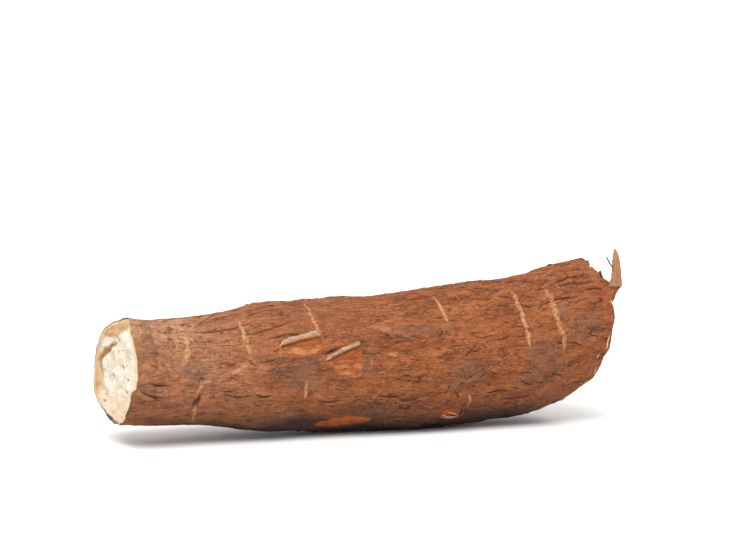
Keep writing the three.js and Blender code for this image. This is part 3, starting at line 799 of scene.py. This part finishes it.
def bark_look():
    look = Look("cassava bark")
    lengthwise = look.stretched(0.3)
    fibres = look.stretched(0.09)
    patchy = look.stretched(0.6)
    middle = look.noise(lengthwise, 0.16, 7, 0.66, 0.6)
    colour = look.ramp(middle, BARK_TONES)
    # Broad warm and cool areas, then thin pale skin that is partly worn off, and pale dust with a painted
    # highlight.
    broad = look.noise(patchy, 0.045, 3, 0.5, 0.4)
    colour = look.cover(colour, broad, [(0.42, 0.0), (0.62, 0.5)], BARK_ORANGE)
    skin = look.noise(patchy, 0.34, 8, 0.72, 1.2)
    colour = look.cover(colour, skin, [(0.53, 0.0), (0.57, 0.36), (0.75, 0.6)], BARK_TAN)
    colour = look.cover(colour, skin, [(0.34, 0.5), (0.42, 0.0)], BARK_BROWN)
    dust_and_highlight = look.masked(look.share("pale"), skin, [(0.4, 0.25), (0.58, 1.0)])
    colour = look.mix(dust_and_highlight, colour, BARK_PALE)
    stain = look.masked(look.share("stain"), skin, [(0.36, 0.74), (0.62, 0.3)])
    colour = look.mix(stain, colour, BARK_GREY)
    # Fibres and grain along the root.
    grain = look.noise(fibres, 1.5, 8, 0.7, 0.3)
    colour = look.shade(colour, grain, [(0.32, 0.5), (0.5, 1.0), (0.68, 1.45)], 0.85)
    cross = look.noise(look.stretched(1.6, 0.5), 0.55, 5, 0.65, 0.8)
    colour = look.shade(colour, cross, [(0.35, 0.62), (0.5, 1.0), (0.64, 1.28)], 0.4)
    # Hair-thin cracks, in some places only, darkened with painted shade.
    crack = look.line(look.noise(look.stretched(0.22), 0.2, 6, 0.62, 1.0), 0.010)
    crack = look.masked(crack, look.noise(patchy, 0.09, 3), [(0.46, 0.0), (0.56, 1.0)])
    tiny = look.line(look.noise(look.stretched(0.35), 0.6, 4, 0.6, 1.4), 0.016)
    tiny = look.masked(tiny, look.noise(patchy, 0.2, 3), [(0.5, 0.0), (0.6, 0.8)])
    crack = look.math("MAXIMUM", crack, tiny)
    colour = look.mix(look.math("MULTIPLY", crack, 0.8), colour, CRACK_SHADE)
    # Short dashes darkened with painted shade, and light slivers.
    dash = look.noise(look.stretched(0.3), 0.85, 3, 0.55, 1.4)
    dark_dash = look.masked(look.share("busy"), dash, [(0.61, 0.0), (0.67, 0.55)])
    colour = look.mix(dark_dash, colour, DASH_SHADE)
    colour = look.cover(colour, dash, [(0.31, 0.5), (0.37, 0.0)], BARK_PALE)
    # Painted shade in folds, cracks and the hollow.
    colour = look.cover(colour, look.share("fold_shade"), [(0.2, 0.0), (0.7, 0.85)], FOLD_SHADE)
    colour = look.mix(look.share("warm"), colour, BARK_WARMTH, "MULTIPLY")
    # Bare inner bark, corky scars, and the underside darkened by dark earth and painted shade.
    blotch = look.noise(lengthwise, 0.34, 5, 0.6, 0.8)
    lower = look.math("ADD", look.share("lower"), look.ramp(blotch, [(0.4, 0.0), (0.6, 0.4)]))
    bare = look.cover(INNER_ORANGE, lower, [(0.3, 0.0), (0.75, 1.0)], INNER_TAN)
    bare = look.tint(bare, ("bright", INNER_BRIGHT))
    bare = look.cover(bare, blotch, [(0.42, 0.8), (0.53, 0.0)], INNER_DARK)
    bare = look.shade(bare, grain, [(0.35, 0.66), (0.62, 1.27)], 0.7)
    colour = look.tint(colour, ("peel", bare))
    cork = look.cover(BARK_TAN, look.noise(patchy, 0.9, 5), [(0.42, 0.0), (0.56, 1.0)], SCAR_PALE)
    colour = look.cover(colour, look.share("scar"), [(0.2, 0.0), (0.55, 0.95)], cork)
    colour = look.tint(colour, ("earth_and_shade", EARTH_AND_SHADE))
    height = look.total((grain, 0.6), (skin, 0.5), (cross, 0.35), (crack, -0.9), (dark_dash, -0.6))
    rough = look.ramp(skin, [(0.35, 0.68), (0.6, 0.85)])
    return look.finish(colour, rough, height, 0.75, 0.5)


def flake_look():
    look = Look("loose bark skin")
    grain = look.noise(look.stretched(0.14), 1.5, 6, 0.65)
    colour = look.ramp(look.share("tone"), FLAKE_TONES)
    colour = look.shade(colour, grain, [(0.35, 0.6), (0.65, 1.3)], 0.7)
    # Darker towards the ground: dark earth and painted shade.
    colour = look.tint(colour, ("earth_and_shade", EARTH_AND_SHADE))
    return look.finish(colour, 0.8, grain, 0.5, 0.3)


def curl_look():
    look = Look("curled bark")
    grain = look.noise(look.stretched(0.16), 1.7, 7, 0.68)
    edge = look.noise(look.stretched(0.6), 0.5, 4, 0.6)
    colour = look.ramp(grain, CURL_TONES)
    colour = look.cover(colour, edge, [(0.36, 0.6), (0.5, 0.0)], BARK_ORANGE)
    # Painted shade on the lower side of the roll.
    colour = look.tint(colour, ("fold_shade", BARK_ORANGE))
    return look.finish(colour, 0.82, grain, 0.6, 0.4)


def splinter_look():
    look = Look("splinter bark")
    grain = look.noise(look.stretched(1.0, 1.0, 0.18), 1.1, 7, 0.66)
    colour = look.ramp(grain, SPLINTER_TONES)
    bark = look.ramp(grain, [(0.3, BARK_BROWN), (0.5, BARK_ORANGE), (0.75, BARK_TAN)])
    # Painted shade in the fold at the splinter's foot.
    colour = look.tint(colour, ("bark", bark), ("fold_shade", SPLINTER_FOLD_SHADE))
    return look.finish(colour, 0.8, grain, 0.6, 0.4)


def fibre_look(name, along, scale, detail, stops, rough=0.8, bump=(0.2, 0.1)):
    look = Look(name)
    grain = look.noise(look.stretched(along), scale, detail)
    return look.finish(look.ramp(grain, stops), rough, grain, *bump)


def flesh_look():
    look = Look("cut flesh")
    plain = look.stretched(1.0)
    wide = look.stretched(1.0, 0.5, 1.0)
    cloud = look.noise(plain, 0.16, 6, 0.66, 0.5)
    grain = look.noise(plain, 1.3, 6, 0.7)
    mottle = look.noise(wide, 0.42, 6, 0.68, 0.6)
    blotch = look.noise(wide, 0.3, 5, 0.7, 0.4)
    colour = look.cover(FLESH, blotch, [(0.4, 0.0), (0.6, 0.85)], FLESH_WHITE)
    warm = look.masked(look.share("warm"), cloud, [(0.35, 1.0), (0.65, 0.55)])
    colour = look.mix(warm, colour, FLESH_DEEP)
    colour = look.shade(colour, grain, [(0.34, 0.68), (0.6, 1.12)], 0.55)
    colour = look.cover(colour, mottle, [(0.56, 0.0), (0.68, 0.65)], FLESH_DEEP)
    # Small grey-brown specks, in two sizes.
    for scale, size, strength in ((0.21, 0.17, 0.85), (0.42, 0.22, 0.7)):
        dots = look.node("ShaderNodeTexVoronoi", Vector=wide, Scale=scale).outputs["Distance"]
        dots = look.ramp(dots, [(size * 0.5, strength), (size, 0.0)])
        dots = look.masked(dots, mottle, [(0.40, 0.0), (0.48, 1.0)])
        colour = look.mix(dots, colour, SPECK_BROWN)
    tan = look.cover(CORTEX_TAN, mottle, [(0.36, 0.0), (0.58, 1.0)], CORTEX_LIGHT)
    tan = look.shade(tan, grain, [(0.34, 0.7), (0.6, 1.15)], 0.6)
    colour = look.tint(colour, ("cortex", tan), ("rim", RIM_CREAM))
    # Brown specks and torn fibres, with painted shade in the groove's core and along the ledges.
    colour = look.tint(colour, ("dark", BROWN_AND_SHADE), ("edge", FACE_EDGE))
    return look.finish(colour, 0.6, look.total((grain, 0.6), (mottle, 0.8)), 0.6, 0.5)


def add_object(name, data):
    made = bpy.data.objects.new(name, data)
    bpy.context.scene.collection.objects.link(made)
    return made


def make_mesh(name, shell, look, shares=()):
    """A piece from points in millimetres and faces, riding on the root's body."""
    points, faces = shell
    mesh = bpy.data.meshes.new(name)
    placed = np.clip((points + PLACE) * MM, cad_low, cad_high)
    mesh.from_pydata(placed.tolist(), [], faces)
    mesh.polygons.foreach_set("use_smooth", [True] * len(mesh.polygons))
    for key, values in dict(shares).items():
        layer = mesh.attributes.new(key, "FLOAT", "POINT")
        layer.data.foreach_set("value", np.clip(values, 0, 1).astype(np.float32))
    mesh.materials.append(look)
    mesh.update()
    piece = add_object(name, mesh)
    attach(piece, BODY)
    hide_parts(ROOT)


def closed(rings):
    """Points and faces of rings in a row, with a fan of faces over each end."""
    number, count = rings.shape[:2]
    rows = np.arange(number - 1)[:, None] * count
    j = np.arange(count)[None]
    k = (j + 1) % count
    faces = np.stack([rows + j, rows + k, rows + count + k, rows + count + j], -1).reshape(-1, 4).tolist()
    last, tip = (number - 1) * count, number * count
    for a in range(count):
        b = (a + 1) % count
        faces.append((tip, b, a))
        faces.append((tip + 1, last + a, last + b))
    return np.vstack([rings.reshape(-1, 3), rings[0].mean(0), rings[-1].mean(0)]), faces


def phases(sides):
    return 2 * np.pi * np.arange(sides) / sides


def ragged_rim(rim, angle, seed, amount):
    return rim(angle) + amount * noise(30 * outward(angle), 4, seed, 3)


def earth_and_shade_share(points):
    """Share of dark earth and painted shade on the bark, which grows towards the ground."""
    height = points[..., 2] + PLACE[2] + 2.5 * noise(points, (18, 9, 9), 141, 3)
    share = 0.34 * (1 - smooth(4, 28, height)) + 0.64 * (1 - smooth(3, 16, height))
    return share * (0.2 + 0.8 * smooth(-116, -98, points[..., 0]))


def turned_in(rim, inward):
    """Rings behind a rim, each further in and narrower, so that the bark shows as a thin edge."""
    middle = rim.mean(0)
    return [middle + (rim - middle) * size + (inward * depth, 0, 0) for depth, size in CAP_RINGS]


def bark_skin(look):
    """The bark from rim to rim. It returns both rims, which the flesh follows."""
    along, around = BARK_GRID
    # The columns stand closer together on the side that shows best.
    turn = np.linspace(0, 360, 3601)
    closeness = np.cumsum(1 + 1.2 * plateau(turn, (40, 60), (255, 280)))
    angle = np.interp(np.arange(around) / around, (closeness - closeness[0]) / np.ptp(closeness), turn)
    start = ragged_rim(thin_rim, angle, 7, 0.35)
    end = ragged_rim(thick_rim, angle, 8, 0.8)
    share = np.linspace(0, 1, along)[:, None]
    x = start + (end - start) * share
    angles = np.broadcast_to(angle, x.shape)
    relief, tint = fine_bark(x, angles)
    edge = plateau(share, (0, 0.006), (0.994, 1))
    points = on_bark(x, angles, relief * (0.35 + 0.65 * edge))
    # Darker towards the ground: dark earth and painted shade, less on bare places.
    tint["earth_and_shade"] = earth_and_shade_share(points) * (1 - 0.92 * tint["peel"])
    tint["busy"] = 0.45 + 0.55 * smooth(-60, 20, x)
    tint["warm"] = smooth(-60, 40, x)
    tint["pale"] = 0.9 * hump(x + 104, 22) * bell(angles, 112, 24)
    tint["pale"] += 0.46 * (1 - smooth(-88, -28, x)) * bell(angles, 150, 70)
    # A painted highlight at the top of the thick end.
    tint["pale"] += 0.16 * smooth(88, 104, x) * bell(angles, 117, 22)
    rings = np.concatenate([turned_in(points[0], 1)[::-1], points, turned_in(points[-1], -1)])
    behind = len(CAP_RINGS)
    shares = {}
    for key, values in tint.items():
        shares[key] = np.append(np.pad(values, ((behind, behind), (0, 0)), "edge"), [0, 0])
    make_mesh("bark_skin", closed(rings), look, shares)
    return points[0], points[-1]


def flesh_disc(name, rim, face, look, inward, tint_at, detail):
    """The flesh of one end: a fine disc inside the rim of the bark."""
    centre = on_axis(rim[:, 0].mean())
    depth = np.linspace(0.014, 0.985, FLESH_RINGS)[:, None]
    spread = (rim - centre)[None] * (1 - depth[..., None])
    across, up = spread[..., 1], spread[..., 2]
    shares, relief = tint_at(across, up, depth + 0 * across)
    edge = smooth(0, 0.3, depth)
    x = rim[None, :, 0] * (1 - edge) + face(across, up) * edge + inward * relief
    top = np.stack([x, centre[1] + across, centre[2] + up], -1)
    inner = smooth(0.01, 0.05, np.linspace(0, 1, FLESH_RINGS))[:, None]
    top[..., 0] += detail * noise(top, 1.8, 151, 3) * inner
    # The back follows the face on fewer rings, a little further in.
    size = (1, FLESH_BACK_SIZE, FLESH_BACK_SIZE)
    back = centre + (top[::-BACK_STEP] - centre) * size + (inward * FLESH_DEPTH, 0, 0)
    rings = np.concatenate([back, top])[::-1]
    if inward < 0:
        rings = rings[:, ::-1]
        shares = {key: values[:, ::-1] for key, values in shares.items()}
    for key, values in shares.items():
        rows = np.concatenate([values[::-BACK_STEP], values])[::-1]
        shares[key] = np.append(rows, [values[-1].mean(), 0])
    make_mesh(name, closed(rings), look, shares)


def bark_edge(across, up, depth):
    """Bark that shows as a dark line round the top, far side and underside."""
    angle = np.degrees(np.arctan2(up, across))
    low = bell(angle, 285, 20)
    shown = bell(angle, 88, 32) + low + 0.6 * bell(angle, 0, 70) * (np.sin(9 * np.radians(angle)) > 0.2)
    thickness = 0.022 + 0.05 * low
    return np.clip(shown, 0, 1) * (1 - smooth(thickness, thickness + 0.022, depth))


def thin_tint(across, up, depth):
    """Tan lobe, groove, specks and warm rim of the sawn face; the groove's core is darkened with painted
    shade.
    """
    points = np.stack([0 * across, across, up], -1)
    wobble = noise(points, 5, 161, 3)
    groove, run = path_distance(across + 0.5 * wobble, up + 0.5 * wobble, smooth_path(GROOVE))
    cut = hump(groove, 0.5 * GROOVE_WIDTH) * arch(run, 0.1, 0.85)
    band = hump(groove - 0.4, 0.75 * GROOVE_WIDTH) * arch(run, 0.06, 0.9)
    lobe = lobe_share(across + wobble, up + 1.2 * wobble + 0.3, 0.9)
    outer = smooth(17.5, 21, np.hypot(across, up) + 1.2 * wobble)
    strip = outer * smooth(8, 15, across) * smooth(-14, -8, up)
    tan = 0.92 * lobe + 0.7 * strip + 0.9 * spot(across, up, (22, -13), (5, 5.5))
    width = 0.05 + 0.08 * bell(np.degrees(np.arctan2(up, across)), 180, 65)
    pits = np.zeros(across.shape)
    for mid_across, mid_up, size in SPECKS:
        pits = np.maximum(pits, spot(across, up, (mid_across, mid_up), (1.1 * size, size)))
    shares = {
        "cortex": np.maximum(tan, smooth(0.2, 0.65, band)),
        # Painted shade in the groove's core; the specks are brown.
        "dark": np.maximum(0.4 * smooth(0.4, 0.95, cut), 0.95 * smooth(0.25, 0.7, pits)),
        "warm": 0.75 * smooth(-6, -20, up) + 0.35 * smooth(14, 22, across),
        "rim": (0.8 + 0.25 * wobble) * (1 - smooth(0.7 * width, width + 0.06, depth + 0.035 * wobble)),
        "edge": bark_edge(across, up, depth + 0.008 * wobble),
    }
    return shares, GROOVE_DEPTH * cut + 0.6 * pits - 0.22 * noise(points, 3, 165, 3)


def thick_tint(across, up, depth):
    """Cream broken flesh with brown torn fibres near the rim, and painted shade along the steps of its
    ledges.
    """
    points = np.stack([0 * across, across, up], -1)
    torn = noise(points, 7, 171, 3)
    ledge = noise(points, 15, 175, 3)
    step = smooth(-0.06, 0.06, ledge) + smooth(0.34, 0.44, ledge)
    # Painted shade along the steps of the ledges.
    ledge_shade = hump(ledge, 0.035) + hump(ledge - 0.39, 0.03)
    shares = {
        "cortex": 0.7 * (1 - smooth(0.06, 0.2, depth + 0.06 * torn)),
        "dark": np.maximum(0.55 * smooth(0.25, 0.6, torn) * (1 - smooth(0.1, 0.5, depth)), 0.22 * ledge_shade),
        "warm": np.clip(0.4 + 0.5 * torn, 0, 1),
        "rim": 0.8 * (1 - smooth(0.03, 0.08, depth)),
        "edge": 0.8 * (1 - smooth(0.018, 0.03, depth + 0.01 * torn)),
    }
    return shares, 0.7 * np.abs(noise(points, 4, 181, 3)) + 1.1 * step * smooth(0.03, 0.15, depth)


def bark_frame(x, angle, lift):
    """Points on the bark with their lengthwise, round and outward directions."""
    along = unit(on_bark(x + 0.5, angle, lift) - on_bark(x - 0.5, angle, lift))
    around = unit(on_bark(x, angle + 1, lift) - on_bark(x, angle - 1, lift))
    return on_bark(x, angle, lift), along, around, np.cross(around, along)


def loose_flakes(look):
    """Thin scales of bark skin that lift at one edge."""
    rng = np.random.default_rng(23)
    x = rng.uniform(-110, 118, FLAKE_COUNT)
    angle = rng.uniform(0, 360, FLAKE_COUNT)
    keep = (x > thin_rim(angle) + 3) & (x < thick_rim(angle) - 3)
    x, angle = x[keep], angle[keep]
    relief, tint = fine_bark(x, angle)
    dense = 0.3 + 0.7 * smooth(-20, 60, x)
    keep = (tint["peel"] < 0.1) & (tint["scar"] < 0.3) & (rng.uniform(size=len(x)) < dense)
    x, angle, relief = x[keep], angle[keep], relief[keep]
    point, along, around, out = bark_frame(x, angle, relief)
    number = len(x)
    turn = rng.normal(0, 0.3, number)[:, None]
    first = along * np.cos(turn) + around * np.sin(turn)
    second = around * np.cos(turn) - along * np.sin(turn)
    length = rng.uniform(0.7, 2.2, number) * rng.uniform(0.7, 1.2, number)
    width = rng.uniform(0.3, 0.75, number)
    lift = rng.uniform(0.08, 0.4, number)
    side = rng.choice([-1.0, 1.0], number)
    grid = np.array([(i, j) for i in (-1, 0, 1) for j in (-1, 0, 1)], float)
    jitter = rng.uniform(0.6, 1.25, (number, 9, 2))
    radius = between(RADIUS, x)
    tops = []
    for k, (i, j) in enumerate(grid):
        a = (i * length * jitter[:, k, 0])[:, None]
        b = (j * width * jitter[:, k, 1])[:, None]
        rise = 0.05 + lift * ((j * side + 1) / 2) ** 2 * (1 - 0.35 * i * i) - (b[:, 0] ** 2) / (2 * radius)
        tops.append(point + first * a + second * b + out * rise[:, None])
    top = np.stack(tops, 1)
    bottom = top - out[:, None] * FLAKE_THICKNESS
    points = np.concatenate([top, bottom], 1).reshape(-1, 3)
    cells = [(0, 1, 4, 3), (1, 2, 5, 4), (3, 4, 7, 6), (4, 5, 8, 7)]
    rim = [0, 1, 2, 5, 8, 7, 6, 3]
    one = [tuple(c) for c in cells] + [tuple(v + 9 for v in reversed(c)) for c in cells]
    one += [(rim[(n + 1) % 8], rim[n], rim[n] + 9, rim[(n + 1) % 8] + 9) for n in range(8)]
    faces = [tuple(v + 18 * n for v in face) for n in range(number) for face in one]
    tone = np.repeat(rng.beta(2.2, 2.2, number), 18)
    # Dark earth and painted shade, as on the bark.
    earth_and_shade = np.repeat(earth_and_shade_share(point), 18)
    make_mesh("loose_flakes", (points, faces), look, {"tone": tone, "earth_and_shade": earth_and_shade})


def tube(path, radii, sides=6):
    """Points and faces of one closed thin tube along a path in space."""
    ahead = unit(np.gradient(path, axis=0))
    side = unit(np.cross(ahead, (0, 0, 1) if abs(ahead[:, 2]).mean() < 0.8 else (0, 1, 0)))
    other = np.cross(side, ahead)
    turn = phases(sides)[:, None]
    circle = side[:, None] * np.cos(turn) + other[:, None] * np.sin(turn)
    return closed(path[:, None] + circle * radii[:, None, None])


def many_tubes(name, tubes, look):
    """All tubes of one kind as a single piece."""
    points, faces, start = [], [], 0
    for tube_points, tube_faces in tubes:
        points.append(tube_points)
        faces += [tuple(v + start for v in face) for face in tube_faces]
        start += len(tube_points)
    make_mesh(name, (np.vstack(points), faces), look)


def root_hairs(look):
    """Thin dry fibres that lie on the bark, mostly along it."""
    rng = np.random.default_rng(31)
    column = (FIBRE_COUNT, 1)
    x = rng.uniform(-60, 112, column)
    angle = rng.uniform(60, 300, column)
    heading = rng.normal(0, 0.7, column)
    bend = rng.normal(0, 0.06, column)
    share = np.linspace(0, 1, 9)
    run = rng.uniform(2.5, 8, column) * share
    xs = x + run * np.cos(heading + bend * run)
    angles = angle + np.degrees(run * np.sin(heading + bend * run) / RADIUS[5])
    relief, _ = fine_bark(xs, angles)
    lifts = relief + 0.12 + rng.uniform(0, 0.5, column) * np.sin(np.pi * share) ** 2
    radii = 0.07 + 0.05 * arch(share, 0.15, 0.7)
    tubes = [tube(path, radii, 5) for path in on_bark(xs, angles, lifts)]
    many_tubes("root_hairs", tubes, look)


def splinter_hairs(look):
    """Short dark hairs beside the splinter."""
    tubes = []
    run = np.linspace(0, 1, 9)[:, None]
    for foot, start, reach, bend, radii in HAIRS_BY_SPLINTER:
        sideways = start[0] + run * reach[0] + bend * np.sin(math.pi * run)
        upwards = start[1] + run * reach[1]
        path = on_bark(*foot) + SPLINTER_ACROSS * sideways + UPWARD * upwards
        tubes.append(tube(path, np.linspace(*radii, 9)))
    many_tubes("splinter_hairs", tubes, look)


def torn_fibres(look):
    """Pale torn slivers along the broken rim and over one peeled place."""
    rng = np.random.default_rng(47)
    tubes = []
    for angle, length, inset in TORN_RIM:
        run = np.linspace(-0.5, 0.5, 15)
        angles = angle + np.degrees(run * length / RADIUS[-1])
        xs = thick_rim(angles) - inset - 0.3 * np.sin(5 * run + rng.uniform(0, 3))
        radii = 0.3 * np.cos(np.pi * run * 0.9) * rng.uniform(0.8, 1.2) + 0.06
        relief, _ = fine_bark(xs, angles)
        tubes.append(tube(on_bark(xs, angles, relief + 0.2), radii))
    for x0, a0, x1, a1 in TORN_PATCH:
        run = np.linspace(0, 1, 14)
        xs = x0 + (x1 - x0) * run
        angles = a0 + (a1 - a0) * run + 0.9 * np.sin(6 * run + x0) + rng.normal(0, 0.45, 14)
        radii = (0.07 + 0.15 * np.sin(np.pi * run)) * rng.uniform(0.6, 1.3, 14)
        tubes.append(tube(on_bark(xs, angles, -0.35 + 0.45 * np.sin(np.pi * run)), radii))
    many_tubes("torn_fibres", tubes, look)


def bark_curls(look):
    """Bark rolled back along the upper edge of the two big peeled places, its lower side darkened with
    painted shade.
    """
    phase = phases(22)
    section = 1 + 0.10 * np.sin(5 * phase) + 0.07 * np.sin(9 * phase + 1)
    flat = (1.05 * np.cos(phase) * section)[:, None]
    rise = (0.45 * np.sin(phase) * section + 0.12)[:, None]
    for number, (path, radii) in enumerate(CURLS):
        places = smooth_path(path, 0.45)
        share = np.linspace(0, 1, len(places))
        point = on_bark(places[:, 0], places[:, 1])
        out = outward(places[:, 1])
        side = unit(np.cross(out, unit(np.gradient(point, axis=0))))
        blunt = (0.3 + 0.7 * smooth(0, 0.22, share)) * (0.6 + 0.4 * smooth(0, 0.05, 1 - share))
        ragged = 0.1 * noise(point, 5, 191 + number, 3)
        ragged += 0.13 * noise(point, 1.6, 197 + number, 2)
        size = (radii[0] + (radii[1] - radii[0]) * share) * blunt * (1 + ragged)
        rings = point[:, None] + size[:, None, None] * (side[:, None] * flat + out[:, None] * rise)
        rings += 0.10 * noise(rings, (4, 0.9, 0.9), 201, 2)[..., None] * out[:, None]
        # Painted shade on the side of each ring that faces down.
        fold_shade = np.append(np.tile(0.9 * smooth(0.3, 1.0, -np.cos(phase)), len(places)), [0.5, 0.5])
        make_mesh(f"bark_curl_{number + 1}", closed(rings), look, {"fold_shade": fold_shade})


def splinter(look):
    """The splinter, with its fold at the foot, edges and fibres; the fold is darkened with painted shade."""
    table = np.array(SPLINTER_SECTIONS, float)
    height = np.linspace(table[0, 0], table[-1, 0], 90)[:, None]
    near_edge, far_edge, lean = (np.interp(height, table[:, 0], table[:, k]) for k in (1, 2, 3))
    near_edge = near_edge + 0.12 * np.sin(1.9 * height) * (height > 1)
    far_edge = far_edge - 0.07 * np.sin(1.4 * height + 1) * (height > 1)
    taper = (1 - 0.6 * smooth(6, 17, height)) * (0.3 + 0.7 * smooth(-11, -5, height))
    phase = phases(34)
    boxy = np.sign(np.cos(phase)) * np.abs(np.cos(phase)) ** 0.8
    flat = (near_edge + far_edge) / 2 + (far_edge - near_edge) / 2 * boxy
    deep = 0.5 * SPLINTER_THICKNESS * taper * np.sin(phase) * (0.8 + 0.2 * np.abs(np.sin(phase)))
    deep = deep + lean + 0.09 * np.sin(flat * 7 + 0.15 * height)
    up = height + 0.4 * np.sin(flat * 1.3) * smooth(12, 18, height)
    rings = flat[..., None] * SPLINTER_ACROSS + deep[..., None] * SPLINTER_BACK + up[..., None] * UPWARD
    # Painted shade in the fold at the foot.
    fold_shade = hump(height + 0.4, 0.7) + 0 * phase
    bark = 1 - smooth(-1.2, 0.2, height) + 0 * phase
    shares = {"fold_shade": np.append(fold_shade, [0, 0]), "bark": np.append(bark, [1, 0])}
    make_mesh("bark_splinter", closed(on_bark(*SPLINTER_FOOT) + rings), look, shares)


def floor():
    corners = [(x * FLOOR_REACH, y * FLOOR_REACH, 0) for x, y in ((-1, -1), (1, -1), (1, 1), (-1, 1))]
    mesh = bpy.data.meshes.new("floor")
    mesh.from_pydata(corners, [], [(0, 1, 2, 3)])
    look = bpy.data.materials.new("pale floor")
    look.use_nodes = True
    shader = look.node_tree.nodes["Principled BSDF"]
    shader.inputs["Base Color"].default_value = FLOOR_GREY
    shader.inputs["Roughness"].default_value = 0.9
    shader.inputs["Specular IOR Level"].default_value = 0.1
    mesh.materials.append(look)
    add_object("floor", mesh)


def key_light():
    """Even light from one side, as from a wide window."""
    light = bpy.data.lights.new("key", "SUN")
    light.angle = math.radians(KEY_WIDTH)
    light.energy = KEY_STRENGTH
    light.color = KEY_COLOUR
    made = add_object("key", light)
    made.location = KEY_PLACE
    made.rotation_euler = (-Vector(KEY_PLACE)).to_track_quat("-Z", "Y").to_euler()


def studio():
    world = bpy.data.worlds.new("studio")
    world.use_nodes = True
    background = world.node_tree.nodes["Background"]
    background.inputs["Color"].default_value = (1, 1, 1, 1)
    background.inputs["Strength"].default_value = SKY_STRENGTH
    scene = bpy.context.scene
    scene.world = world
    scene.view_settings.view_transform = "Standard"
    scene.view_settings.look = "None"
    scene.view_settings.exposure = EXPOSURE


def camera():
    turn, dip = math.radians(CAMERA_TURN), math.radians(CAMERA_DIP)
    forward = Vector((-math.sin(turn) * math.cos(dip), math.cos(turn) * math.cos(dip), -math.sin(dip)))
    right = Vector((math.cos(turn), math.sin(turn), 0))
    aim = right * AIM_ACROSS + right.cross(forward) * AIM_UP + Vector(PLACE)
    data = bpy.data.cameras.new("camera")
    data.sensor_width = SENSOR
    data.lens = SENSOR * CAMERA_DISTANCE / (PICTURE_WIDTH * MM_PER_PIXEL)
    data.clip_start = 0.05
    data.clip_end = 50
    made = add_object("camera", data)
    made.location = (aim - forward * CAMERA_DISTANCE) * MM
    made.rotation_euler = forward.to_track_quat("-Z", "Y").to_euler()
    bpy.context.scene.camera = made


thin_edge, thick_edge = bark_skin(bark_look())
flesh = flesh_look()
flesh_disc("flesh_thin_end", thin_edge, thin_face, flesh, 1, thin_tint, 0.10)
flesh_disc("flesh_thick_end", thick_edge, thick_face, flesh, -1, thick_tint, 0.35)
loose_flakes(flake_look())
bark_curls(curl_look())
splinter(splinter_look())
root_hairs(fibre_look("dry fibre", 1.0, 0.4, 3, DRY_TONES, 0.85))
splinter_hairs(fibre_look("dark fibre", 1.0, 0.8, 3, HAIR_TONES))
torn_fibres(fibre_look("torn pale fibre", 0.5, 1.2, 4, TORN_TONES, 0.8, (0.3, 0.2)))
floor()
studio()
key_light()
camera()
